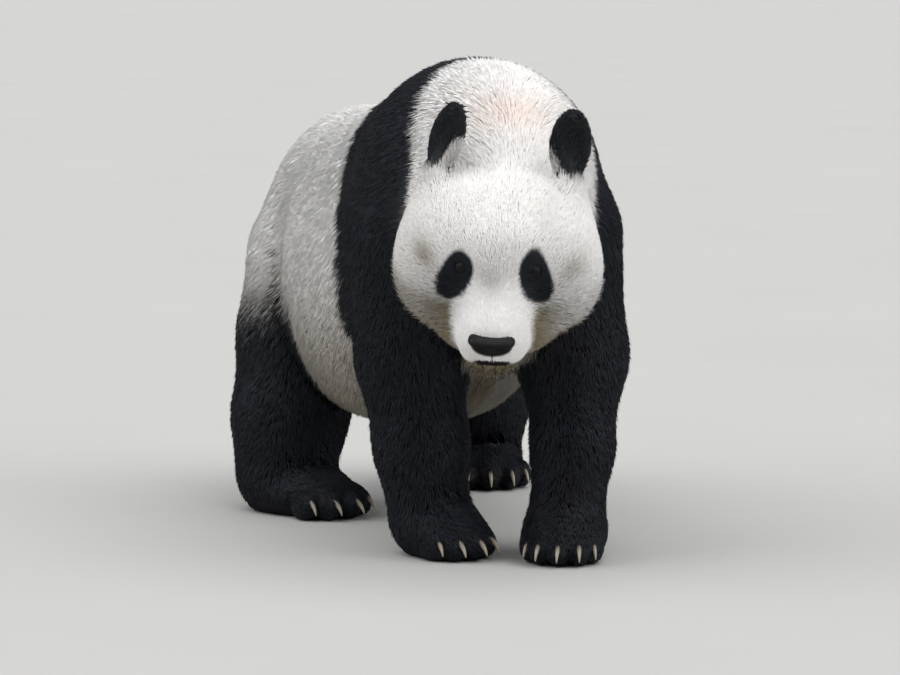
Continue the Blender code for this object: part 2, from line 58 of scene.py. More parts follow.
WITHERS_HEIGHT = 0.80
BACK_HEIGHT = 0.705
BELLY_HEIGHT = 0.165
SHOULDER_Y = 0.10
BARREL_Y = 0.43
HIP_Y = 0.73

HEAD_CENTRE = np.array((-0.062, -0.178, 0.503))
HEAD_TURN, HEAD_PITCH, HEAD_ROLL = np.radians((21.0, 32.0, 3.3))
NOSE_PLACE = (0.205, -0.004, -0.026)
EAR_HALF_WIDTH = 0.038
EAR_HEIGHT = 0.110
EAR_HALF_DEPTH = 0.017
TOE_ARC = radians(62)
PAW_HEIGHT = 0.047
SOLE_DEPTH = 0.010
CLAW_LENGTH = 0.038
CLAW_RADIUS = 0.0058

UP = np.array((0.0, 0.0, 1.0))

# -------- small mathematics


def length_of(vectors):
    return np.linalg.norm(vectors, axis=-1)


def unit(vectors):
    return vectors / np.maximum(np.linalg.norm(vectors, axis=-1, keepdims=True), 1e-12)


def laid(vectors, normals):
    """Vectors with what stands along the normals taken away."""
    return vectors - normals * (vectors * normals).sum(axis=1)[:, None]


def smooth(value, start, end):
    """0 before start, 1 past end, rounded between them; start may be the larger."""
    share = np.clip((value - start) / (end - start), 0, 1)
    return share * share * (3 - 2 * share)


def soft_minimum(distances, blend):
    stack = np.array(distances)
    least = stack.min(axis=0)
    return least - blend * np.log(np.exp((least - stack) / blend).sum(axis=0))


def carved(distance, hollow, blend):
    """A distance to a solid with a hollow taken out of it."""
    return -soft_minimum([-distance, hollow], blend)


def ripple(points, wavelength, seed):
    """Smooth noise between about -1 and 1."""
    rng = np.random.default_rng(seed)
    waves = unit(rng.normal(size=(8, 3))) * 2 * pi / wavelength
    waves *= rng.uniform(0.6, 1.5, (8, 1))
    phases = rng.uniform(0, 2 * pi, 8)
    return np.sin(points @ waves.T + phases).sum(axis=1) / 4


def mixed(first, second, share):
    return first + (second - first) * share


# -------- frames of the body


def heading_axes(angle):
    """Level axes: forward, left, up. A positive angle turns them to the animal's left."""
    forward = (sin(angle), -cos(angle), 0)
    left = (cos(angle), sin(angle), 0)
    return np.column_stack((forward, left, UP))


def head_axes():
    """Columns: forward along the muzzle, to the animal's left, up out of the crown."""
    ahead, aside, _ = heading_axes(-HEAD_TURN).T
    forward = ahead * cos(HEAD_PITCH) - UP * sin(HEAD_PITCH)
    crown = ahead * sin(HEAD_PITCH) + UP * cos(HEAD_PITCH)
    left = aside * cos(HEAD_ROLL) - crown * sin(HEAD_ROLL)
    return np.column_stack((forward, left, np.cross(forward, left)))


HEAD_AXES = head_axes()
FORWARD, LEFTWARD, CROWNWARD = HEAD_AXES.T


def in_head(forward, left, up):
    return HEAD_CENTRE + HEAD_AXES @ (forward, left, up)


def from_head(points):
    return (points - HEAD_CENTRE) @ HEAD_AXES


nose_low, nose_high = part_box("nose")
SHIFT = np.array((nose_low + nose_high) / 2) - in_head(*NOSE_PLACE)


# -------- masses and their field


class Ball:
    """An ellipsoid: centre, three radii, and the axes they lie along."""

    def __init__(self, centre, radii, axes=None):
        self.centre = np.array(centre, float)
        self.radii = np.array(radii, float)
        self.axes = np.identity(3) if axes is None else axes
        self.hull = [(self.centre, self.radii.max())]

    def distance(self, points):
        local = (points - self.centre) @ self.axes
        inner = length_of(local / self.radii)
        outer = length_of(local / self.radii ** 2)
        return inner * (inner - 1) / np.maximum(outer, 1e-9)


class Limb:
    """A tapering limb: the hull of a ball at its start and a ball at its end."""

    def __init__(self, start, end, start_radius, end_radius):
        self.start = np.array(start, float)
        self.axis = np.array(end, float) - self.start
        self.radii = (start_radius, end_radius)
        self.hull = [(self.start, start_radius), (self.start + self.axis, end_radius)]

    def distance(self, points):
        start_radius, end_radius = self.radii
        length2 = self.axis @ self.axis
        taper = start_radius - end_radius
        slope2 = length2 - taper ** 2
        offset = points - self.start
        along = offset @ self.axis
        beyond = along - length2
        across2 = ((offset * length2 - np.outer(along, self.axis)) ** 2).sum(axis=1)
        side = np.sign(taper) * taper ** 2 * across2
        near_end = np.sqrt(across2 + beyond ** 2 * length2) / length2 - end_radius
        near_start = np.sqrt(across2 + along ** 2 * length2) / length2 - start_radius
        flank = (np.sqrt(across2 * slope2 / length2) + along * taper) / length2 - start_radius
        past_end = np.sign(beyond) * slope2 * beyond ** 2 * length2 > side
        before_start = np.sign(along) * slope2 * along ** 2 * length2 < side
        return np.where(past_end, near_end, np.where(before_start, near_start, flank))


class Mass:
    """Solids that flow into each other over a blend width, less any hollows."""

    reach = 0.15             # places further from the mass than this all get this distance

    def __init__(self, blend, solids, hollows=()):
        self.blend = blend
        self.solids = solids
        self.hollows = hollows
        hull = [ball for solid in solids for ball in solid.hull]
        self.low = np.min([centre - radius for centre, radius in hull], axis=0) - self.reach
        self.high = np.max([centre + radius for centre, radius in hull], axis=0) + self.reach

    def distance(self, points):
        found = np.full(len(points), self.reach)
        near = np.all((points > self.low) & (points < self.high), axis=1)
        points = points[near]
        depth = soft_minimum([solid.distance(points) for solid in self.solids], self.blend)
        for hollow in self.hollows:
            depth = carved(depth, hollow.distance(points), self.blend / 2)
        found[near] = np.minimum(depth, self.reach)
        return found


BARREL_MIDDLE = (BACK_HEIGHT + BELLY_HEIGHT) / 2
BARREL_HALF = (BACK_HEIGHT - BELLY_HEIGHT) / 2
TRUNK = Mass(0.022, [
    Ball((0.006, SHOULDER_Y + 0.05, 0.52), (0.196, 0.22, 0.225)),
    Ball((0.002, SHOULDER_Y + 0.03, 0.61), (0.172, 0.185, WITHERS_HEIGHT - 0.628)),
    Ball((0, 0.31, 0.52), (0.170, 0.20, BACK_HEIGHT - 0.490)),
    Ball((0, BARREL_Y, BARREL_MIDDLE), (0.200, 0.33, BARREL_HALF - 0.008)),
    Ball((-0.070, BARREL_Y + 0.02, BELLY_HEIGHT + 0.20), (0.132, 0.25, 0.188)),
    Ball((0.070, BARREL_Y + 0.02, BELLY_HEIGHT + 0.20), (0.132, 0.25, 0.188)),
    Ball((0, 0.56, 0.49), (0.170, 0.27, BACK_HEIGHT - 0.513)),
    Ball((0.005, HIP_Y, 0.46), (0.180, 0.19, BACK_HEIGHT - 0.485)),
    Limb((0, 0.03, 0.42), (0, 0.20, 0.39), 0.10, 0.115),
])

NECK_END_Y = SHOULDER_Y - 0.03
NECK = Mass(0.02, [
    Limb(in_head(-0.07, 0, -0.022), (0.004, NECK_END_Y, 0.60), 0.110, 0.168),
    Limb(in_head(-0.02, 0, -0.05), (0.004, NECK_END_Y, 0.48), 0.080, 0.125),
])


def ear_axes(side, turn, lean):
    """Columns: out of the hollow, which is turned outward, across the ear, and up the ear."""
    up = unit(UP + CROWNWARD * 0.4 + LEFTWARD * lean)
    ahead = unit(FORWARD - up * (FORWARD @ up))
    hollow = ahead * cos(turn) + np.cross(up, ahead) * sin(side * turn)
    return np.column_stack((hollow, np.cross(up, hollow), up))


# Each ear: side, base in the head's axes, and its own axes.
EARS = {
    "ear_right": (-1, (-0.097, -0.103, 0.076), ear_axes(-1, radians(58), 0.42)),
    "ear_left": (1, (-0.095, 0.100, 0.072), ear_axes(1, radians(30), 0.06)),
}


def skull_mass():
    solids = [
        Ball(in_head(-0.010, -0.003, 0.004), (0.112, 0.150, 0.097), HEAD_AXES),
        Ball(in_head(0.052, 0, 0.026), (0.058, 0.088, 0.058), HEAD_AXES),
    ]
    for side in (-1, 1):
        solids += [
            Ball(in_head(0.026, side * 0.080, -0.022), (0.090, 0.080, 0.086), HEAD_AXES),
            Ball(in_head(0.060, side * 0.042, -0.066), (0.080, 0.056, 0.056), HEAD_AXES),
        ]
    for _, base, _ in EARS.values():
        root = in_head(-0.060, base[1] * 0.88, -0.005)
        solids.append(Limb(root, in_head(*base) - UP * 0.012, 0.055, 0.026))
    return Mass(0.011, solids)


MUZZLE_MIDDLE = -0.002       # to the head's left
MUZZLE = Mass(0.011, [
    Limb(in_head(0.05, 0, -0.090), in_head(0.130, 0, -0.082), 0.050, 0.030),
    Limb(in_head(0.078, 0, -0.002), in_head(0.167, MUZZLE_MIDDLE, -0.036), 0.054, 0.038),
    Ball(in_head(0.146, MUZZLE_MIDDLE, -0.044), (0.072, 0.053, 0.040), HEAD_AXES),
    Ball(in_head(0.156, MUZZLE_MIDDLE, -0.074), (0.048, 0.034, 0.030), HEAD_AXES),
])


def ear_mass(name):
    _, base, axes = EARS[name]
    centre = in_head(*base) + axes[:, 2] * (EAR_HEIGHT * 0.47)
    shell = Ball(centre, (EAR_HALF_DEPTH, EAR_HALF_WIDTH, EAR_HEIGHT * 0.53), axes)
    cup_radii = (0.019, EAR_HALF_WIDTH * 0.68, EAR_HEIGHT * 0.40)
    cup = Ball(centre + axes[:, 0] * 0.024 - axes[:, 2] * 0.006, cup_radii, axes)
    return Mass(0.006, [shell], [cup])


# Each leg: its joints from the trunk down, with its half thickness at each.
LEGS = {
    "foreleg_right": [
        ((-0.115, 0.105, 0.50), 0.102), ((-0.113, 0.110, 0.31), 0.084),
        ((-0.104, 0.085, 0.17), 0.071), ((-0.098, 0.065, 0.07), 0.064),
    ],
    "foreleg_left": [
        ((0.124, 0.085, 0.50), 0.106), ((0.140, 0.050, 0.31), 0.083),
        ((0.118, -0.010, 0.17), 0.061), ((0.100, -0.035, 0.07), 0.058),
    ],
    "hindleg_right": [
        ((-0.110, 0.720, 0.42), 0.105), ((-0.136, 0.660, 0.29), 0.107),
        ((-0.170, 0.620, 0.16), 0.094), ((-0.186, 0.600, 0.07), 0.084),
    ],
    "hindleg_left": [
        ((0.115, 0.750, 0.42), 0.105), ((0.176, 0.740, 0.29), 0.105),
        ((0.238, 0.825, 0.15), 0.086), ((0.246, 0.845, 0.07), 0.070),
    ],
}

# Each paw: the middle of its sole, its heading, half width and half length.
PAWS = {
    "forepaw_right": ((-0.084, 0.035), radians(22), 0.064, 0.074),
    "forepaw_left": ((0.085, -0.065), radians(-26), 0.064, 0.074),
    "hindpaw_right": ((-0.165, 0.540), radians(30), 0.068, 0.100),
    "hindpaw_left": ((0.240, 0.790), radians(-14), 0.064, 0.098),
}


def chain_mass(blend, joints):
    return Mass(blend, [
        Limb(upper, lower, upper_radius, lower_radius)
        for (upper, upper_radius), (lower, lower_radius) in zip(joints, joints[1:])
    ])


def toes(name):
    """For each of the five toes: its centre, its outward level axes, and its radius."""
    (x, y), heading, half_width, half_length = PAWS[name]
    heel = (x, y, 0) - heading_axes(heading)[:, 0] * 0.045
    found = []
    for index in range(5):
        share = index / 4 - 0.5
        ahead = heading_axes(heading + share * TOE_ARC)[:, 0]
        reach = half_length + 0.040 - 0.026 * (2 * share) ** 2
        centre = heel + ahead * reach + UP * 0.024
        found.append((centre, heading_axes(heading + share * TOE_ARC * 0.55), half_width * 0.30))
    return found


def paw_mass(name):
    (x, y), heading, half_width, half_length = PAWS[name]
    middle = (x, y, PAW_HEIGHT - SOLE_DEPTH)
    pad = Ball(middle, (half_length, half_width, PAW_HEIGHT), heading_axes(heading))
    tips = [
        Ball(centre, (radius * 1.45, radius, radius * 1.30), axes)
        for centre, axes, radius in toes(name)
    ]
    return Mass(0.006, [pad, *tips])


TAIL_JOINTS = [
    ((0, HIP_Y + 0.150, 0.51), 0.046),
    ((0, HIP_Y + 0.208, 0.43), 0.046),
    ((0, HIP_Y + 0.206, 0.355), 0.030),
]

# -------- regions of the coat


# A stretch of the body: its mass, its hair, and a vector, or a function of places, along which the
# hair points. The hair: millimetres of depth from the skin to the outline, of length and of width
# of a tuft, square millimetres of skin per tuft, and per cent of tufts that stand out of the coat.
Region = namedtuple("Region", "mass hair lie")


def in_metres(hair):
    """The same in metres, square metres and shares."""
    return np.array(hair) * (1e-3, 1e-3, 1e-3, 1e-6, 1e-2)


def away_from(focus, droop):
    return lambda points: unit(points - focus) - UP * droop


REGIONS = {
    "trunk": Region(TRUNK, (14, 38, 1.5, 7.4, 7), (0, 0.55, -0.83)),
    "neck": Region(NECK, (10, 21, 1.3, 4.4, 5), (0, 0.80, -0.55)),
    "head": Region(skull_mass(), (7, 15, 1.0, 3.3, 5), away_from(in_head(0.24, 0, -0.02), 0.15)),
    "muzzle": Region(MUZZLE, (2.5, 7, 0.7, 1.9, 5), away_from(in_head(0.27, 0, 0.0), 0.10)),
    "tail": Region(chain_mass(0.012, TAIL_JOINTS), (12, 38, 1.6, 8.0, 12), (0, 0.25, -1)),
}
for leg_name, leg_joints in LEGS.items():
    leg_hair = (10, 27, 1.6, 8.0, 16)
    REGIONS[leg_name] = Region(chain_mass(0.014, leg_joints), leg_hair, (0, 0.12, -1))
for paw_name, (_, paw_heading, _, _) in PAWS.items():
    toward_toes = heading_axes(paw_heading)[:, 0] - UP * 0.55
    REGIONS[paw_name] = Region(paw_mass(paw_name), (5, 14, 1.2, 4.5, 8), toward_toes)
for ear_name, (_, _, ear_frame) in EARS.items():
    REGIONS[ear_name] = Region(ear_mass(ear_name), (5.5, 14, 0.8, 2.6, 34), ear_frame[:, 2])

NAMES = list(REGIONS)
FACE = ("head", "muzzle")
FORE = [name for name in NAMES if name.startswith("fore")]
HIND = [name for name in NAMES if name.startswith("hind")]
REGION_BLEND = 0.012
DEPTH, LENGTH, WIDTH, AREA, STRAYS = range(5)

# Added to the hair of the head, on the cheeks and throat and on the chin.
SHAGGY_HAIR = in_metres((6, 15, 0.1, 1.6, 34))
CHIN_HAIR = in_metres((3.5, 8, 0.3, 3.2, 50))
# In place of the hair of the head, round the eyes and the lips.
EYE_HAIR = in_metres((2.5, 5, 0.7, 1.5, 4))
LIP_HAIR = in_metres((1.6, 2.2, 0.6, 1.2, 4))


def region_distances(points):
    return {name: region.mass.distance(points) for name, region in REGIONS.items()}


def outline_distance(distances):
    """Signed distance to the outline of the coat: the body and, joined more tightly, the ears."""
    head = soft_minimum([distances[name] for name in FACE], 0.011)
    rest = [distances[name] for name in NAMES if name not in (*FACE, *EARS)]
    body = soft_minimum([*rest, head], 0.016)
    return soft_minimum([body] + [distances[name] for name in EARS], 0.004)


def body_distance(points):
    return outline_distance(region_distances(points))


def slope_of(distance, points, step=0.0005):
    """A distance at places, and its slope along each axis."""
    here = distance(points)
    ahead = [distance(points + offset) for offset in np.identity(3) * step]
    return here, (np.column_stack(ahead) - here[:, None]) / step


def cast(outside, direction, distance, rounds=50, stride=0.8):
    """Where rays from outside places first meet the zero of a distance."""
    places = outside
    for _ in range(rounds):
        places = places + direction * (distance(places) * stride)[:, None]
    return places


# -------- eyes and mouth, as places

LIP_HEIGHT = -0.0480         # in the head's axes, at the middle of the mouth
LIP_CURVE = 7.0              # how far the lips fall, for each square metre to the side


class Eye:
    """An eyeball where the CAD has it, looking out of the head to one side."""

    def __init__(self, name, side):
        low, high = (np.array(corner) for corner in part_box(name))
        self.name, self.side = name, side
        self.centre = (low + high) / 2 - SHIFT
        self.radius = float((high - low).max()) / 2
        outward = unit(HEAD_AXES @ (0.84, side * 0.42, 0.12))
        across = unit(np.cross(CROWNWARD, outward))
        self.axes = np.column_stack((across, np.cross(outward, across), outward))

    def distance(self, points):
        """How far places are from the middle of the eyeball."""
        return length_of(points - self.centre)


EYES = [Eye("eye_right", -1), Eye("eye_left", 1)]


def mouth_line():
    """The closed lips on the outline of the muzzle: across its front, then back along each side."""
    front = np.array([
        in_head(0.34, side + MUZZLE_MIDDLE, LIP_HEIGHT - LIP_CURVE * side ** 2)
        for side in np.linspace(-0.031, 0.031, 11)
    ])
    corners = []
    for side in (-1, 1):
        outside = np.array([
            in_head(forward, side * 0.14, -0.0625 - 0.20 * (0.190 - forward))
            for forward in (0.190, 0.170, 0.150)
        ])
        corners.append(cast(outside, -side * LEFTWARD, body_distance))
    right, left = corners
    return np.concatenate((right[::-1], cast(front, -FORWARD, body_distance), left))


LIPS = mouth_line()


def along_line(points, line):
    """Distance from places to a chain of short straight lengths."""
    nearest = np.full(len(points), np.inf)
    for start, end in zip(line, line[1:]):
        span = end - start
        share = np.clip((points - start) @ span / (span @ span), 0, 1)
        nearest = np.minimum(nearest, length_of(points - start - share[:, None] * span))
    return nearest


# -------- the coat at a place


def owned_by(names, shares):
    """How far some regions together own places."""
    return sum(shares[NAMES.index(name)] for name in names)


def coat_of(points, distances):
    """The five numbers of the hair at places, and how far, from 0 to 1, each region owns them."""
    stack = np.array([distances[name] for name in NAMES])
    weights = np.exp(-(stack - stack.min(axis=0)) / REGION_BLEND)
    shares = weights / weights.sum(axis=0)
    hair = shares.T @ in_metres([region.hair for region in REGIONS.values()])
    head = owned_by(FACE, shares)
    forward, left, up = from_head(points).T
    fringe = smooth(np.abs(left), 0.050, 0.095) * smooth(up, 0.015, -0.045)
    fringe *= smooth(forward, 0.165, 0.120)
    throat = smooth(up, -0.085, -0.110) * smooth(forward, 0.20, 0.12)
    shaggy = head * np.maximum(fringe, throat)
    chin = head * smooth(up, -0.054, -0.066) * smooth(forward, 0.15, 0.18)
    hair += shaggy[:, None] * SHAGGY_HAIR
    hair += chin[:, None] * CHIN_HAIR
    for eye in EYES:
        near = head * smooth(eye.distance(points), 0.050, 0.018)
        hair = mixed(hair, EYE_HAIR, near[:, None])
    near = head * smooth(along_line(points, LIPS), 0.016, 0.006)
    near *= smooth(up + LIP_CURVE * np.minimum(np.abs(left), 0.05) ** 2, -0.061, -0.053)
    return mixed(hair, LIP_HAIR, near[:, None]), shares


def lie_of(points, normals, shares):
    """Which way the hair points, along the skin."""
    lie = np.zeros_like(points)
    for region, share in zip(REGIONS.values(), shares):
        way = region.lie(points) if callable(region.lie) else np.array(region.lie)
        lie += unit(way) * share[:, None]
    swirl = 0.30 * ripple(points, 0.16, 3) + 0.16 * ripple(points, 0.045, 4)
    lie = lie + np.cross(normals, lie) * swirl[:, None]
    return unit(laid(lie, normals))


def furless_distance(points):
    """Signed distance to the outline less the depth of the coat."""
    distances = region_distances(points)
    hair, _ = coat_of(points, distances)
    return outline_distance(distances) + hair[:, DEPTH]


# The mouth and the groove up to the nose, brought down from the outline to the skin.
MOUTH = LIPS
for _ in range(3):
    mouth_depth, mouth_slope = slope_of(furless_distance, MOUTH)
    MOUTH = MOUTH - unit(mouth_slope) * mouth_depth[:, None]
MIDDLE_LIP = MOUTH[len(MOUTH) // 2]
PHILTRUM = np.array([MIDDLE_LIP, MIDDLE_LIP + CROWNWARD * 0.014 - FORWARD * 0.004])


# -------- skin

SKIN_GRAIN = 0.0085
SOLE_HEIGHT = 0.0008
SOCKET = 1.04                # radius of an eye socket, against the eyeball's
LIP_GROOVE = 0.0042          # radius of the groove between the lips
PHILTRUM_LESS = 0.0040       # how much narrower the groove up to the nose is


def placed(name, data):
    """A new object in the scene."""
    thing = bpy.data.objects.new(name, data)
    bpy.context.scene.collection.objects.link(thing)
    return thing


def above_floor(points):
    points[..., 2] = np.maximum(points[..., 2], SOLE_HEIGHT)
    return points


def fill(items, field, values, kind=np.float32):
    items.foreach_set(field, np.ascontiguousarray(values, dtype=kind).ravel())


def read(items, field, width, kind=np.float32):
    """A field of all items as rows of so many numbers."""
    values = np.empty(len(items) * width, kind)
    items.foreach_get(field, values)
    return values.reshape(-1, width)


def piece_from(name, points, triangles):
    """A piece of the animal, which rides on its one still body."""
    mesh = bpy.data.meshes.new(name)
    mesh.vertices.add(len(points))
    fill(mesh.vertices, "co", points + SHIFT)
    mesh.loops.add(len(triangles) * 3)
    fill(mesh.loops, "vertex_index", triangles, np.int32)
    mesh.polygons.add(len(triangles))
    fill(mesh.polygons, "loop_start", np.arange(0, len(triangles) * 3, 3), np.int32)
    mesh.update(calc_edges=True)
    mesh.shade_smooth()
    piece = placed(name, mesh)
    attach(piece, "root")
    return piece


def store(mesh, name, values):
    """A number for each vertex, under a name that the materials read."""
    fill(mesh.attributes.new(name, "FLOAT", "POINT").data, "value", values)


HARD = ("eye", "nose", "foreclaw", "hindclaw")
FLESH = sorted(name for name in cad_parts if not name.startswith(HARD))
LEATHER = Ball(in_head(NOSE_PLACE[0], NOSE_PLACE[1], -0.0262), (0.017, 0.030, 0.0115), HEAD_AXES)


def from_lips(points):
    return np.minimum(along_line(points, MOUTH), along_line(points, PHILTRUM) + PHILTRUM_LESS)


def skin_distance(points):
    """Below zero inside the skin: the outline less the coat, with eye sockets and a mouth."""
    depth = furless_distance(points)
    for eye in EYES:
        socket = Ball(eye.centre, [eye.radius * SOCKET] * 3)
        depth = carved(depth, socket.distance(points), 0.002)
    return carved(depth, from_lips(points) - LIP_GROOVE, 0.0010)


def neighbour_mean(mesh, points):
    first, second = read(mesh.edges, "vertices", 2, np.int32).T
    count = len(points)
    degree = np.bincount(first, minlength=count) + np.bincount(second, minlength=count)
    total = np.column_stack([
        np.bincount(first, column[second], count) + np.bincount(second, column[first], count)
        for column in points.T
    ])
    return total / degree[:, None]


def settled(mesh, distance, rounds):
    """Vertices spread evenly and drawn onto the zero of a distance."""
    points = read(mesh.vertices, "co", 3).astype(float) - SHIFT
    for turn in range(rounds):
        points = mixed(points, neighbour_mean(mesh, points), 0.5 if turn < rounds - 2 else 0.1)
        here, slope = slope_of(distance, points)
        steepness = np.maximum((slope ** 2).sum(axis=1), 0.25)
        points -= slope * (here / steepness)[:, None]
    return above_floor(points)


def flesh_shell():
    """The CAD's flesh nodes fused into one even mesh."""
    joined = bmesh.new()
    for name in FLESH:
        joined.from_mesh(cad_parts[name].data)
    mesh = bpy.data.meshes.new("skin")
    joined.to_mesh(mesh)
    joined.free()
    shell = placed("skin", mesh)
    remesh = shell.modifiers.new("fuse", "REMESH")
    remesh.mode = "VOXEL"
    remesh.voxel_size = SKIN_GRAIN
    bpy.context.view_layer.update()
    evaluated = shell.evaluated_get(bpy.context.evaluated_depsgraph_get())
    fused = bpy.data.meshes.new_from_object(evaluated)
    bpy.data.objects.remove(shell)
    return fused


def refine_face(bm):
    """Finer faces over the face, and finer still around the eyes and the mouth."""
    face = Vector(in_head(0.11, 0, -0.01) + SHIFT)
    details = [(Vector(eye.centre + SHIFT), 0.026) for eye in EYES]
    details.append((Vector(MIDDLE_LIP + SHIFT), 0.056))
    for balls in ([(face, 0.150)], [(face, 0.122)], details):
        inside = [edge for edge in bm.edges if any(
            all((end.co - centre).length < radius for end in edge.verts) for centre, radius in balls
        )]
        bmesh.ops.subdivide_edges(bm, edges=inside, cuts=1, use_grid_fill=True)
    bmesh.ops.triangulate(bm, faces=bm.faces[:])


def make_skin():
    mesh = flesh_shell()
    points = settled(mesh, lambda places: body_distance(places) + 0.004, 4)
    fill(mesh.vertices, "co", points + SHIFT)
    bm = bmesh.new()
    bm.from_mesh(mesh)
    refine_face(bm)
    bm.to_mesh(mesh)
    bm.free()
    points = settled(mesh, skin_distance, 6)
    triangles = read(mesh.polygons, "vertices", 3, np.int32)
    bpy.data.meshes.remove(mesh)
    return points, triangles


# -------- markings, and painted shade

# Each eye patch, in the head's axes: its middle to the left and up, and the tilt of its long axis.
EYE_PATCHES = ((-0.0642, 0.0258, radians(-27)), (0.0572, 0.0288, radians(22)))
PATCH_HALF_LENGTH = 0.0390
PATCH_HALF_WIDTH = 0.0232
PATCH_CORNER = 2.3           # 2 would make it an ellipse; more squares it off

# Soft round stains: strength, middle and radii. Those of the head count in the head's axes.
# Those of the temples are brown stains and painted shade of the hollows beside the eye patches.
TEMPLE_STAINS_AND_SHADE = (
    (0.62, (0.080, -0.113, 0.040), (0.05, 0.016, 0.014)),
    (0.48, (0.087, 0.113, 0.031), (0.05, 0.020, 0.014)),
)
BROWN_FLANK = [(0.55, (-0.205, 0.566, 0.435), (0.06, 0.022, 0.055))]
GREY_BRIDGE = (
    (0.40, (0.128, -0.010, 0.034), (0.05, 0.020, 0.013)),
    (0.36, (0.200, -0.002, -0.0130), (0.03, 0.030, 0.0055)),
)
PINK_NAPE = [(0.7, (0.0, -0.03, 0.70), (0.060, 0.08, 0.030))]

BAND_FRONT_Y, BAND_BACK_Y = -0.026, 0.276    # of the black shoulder band, low on the sides
HIP_BLACK_HEIGHT = 0.333                     # up to which the hind legs are black


def stain(amount, places, stains):
    """Adds stains to an amount of colour at places; each fades to 0 past its radii."""
    for strength, middle, radii in stains:
        amount = amount + strength * np.exp(-(((places - middle) / radii) ** 2).sum(axis=1))
    return amount


def eye_patch(head_places):
    """Below zero inside the black drops that hang outward from the eyes."""
    forward, left, crownward = head_places.T
    patch = np.full(len(head_places), 1.0)
    for middle, height, tilt in EYE_PATCHES:
        across = left - middle
        rise = crownward - height
        up = rise * cos(tilt) - across * sin(tilt)
        out = (rise * sin(tilt) + across * cos(tilt)) * np.sign(middle)
        widening = 1 - 0.10 * np.clip(up / PATCH_HALF_LENGTH, -1, 1)
        along = np.abs(up / PATCH_HALF_LENGTH)
        aside = np.abs(out / (PATCH_HALF_WIDTH * widening))
        shape = (along ** PATCH_CORNER + aside ** PATCH_CORNER) ** (1 / PATCH_CORNER) - 1
        patch = np.minimum(patch, shape * PATCH_HALF_WIDTH + 0.4 * (forward < 0.03))
    return patch


def above_ear_root(points):
    """Height over the slanted lower border of the black of the ear on that side."""
    right, left = [
        up - (2.0 - 0.3 * side) * np.maximum(-side * across, 0)
        for side, base, axes in EARS.values()
        for across, up in [((points - in_head(*base)) @ axes[:, 1:]).T]
    ]
    return np.where((points - HEAD_CENTRE) @ LEFTWARD > 0, left, right)


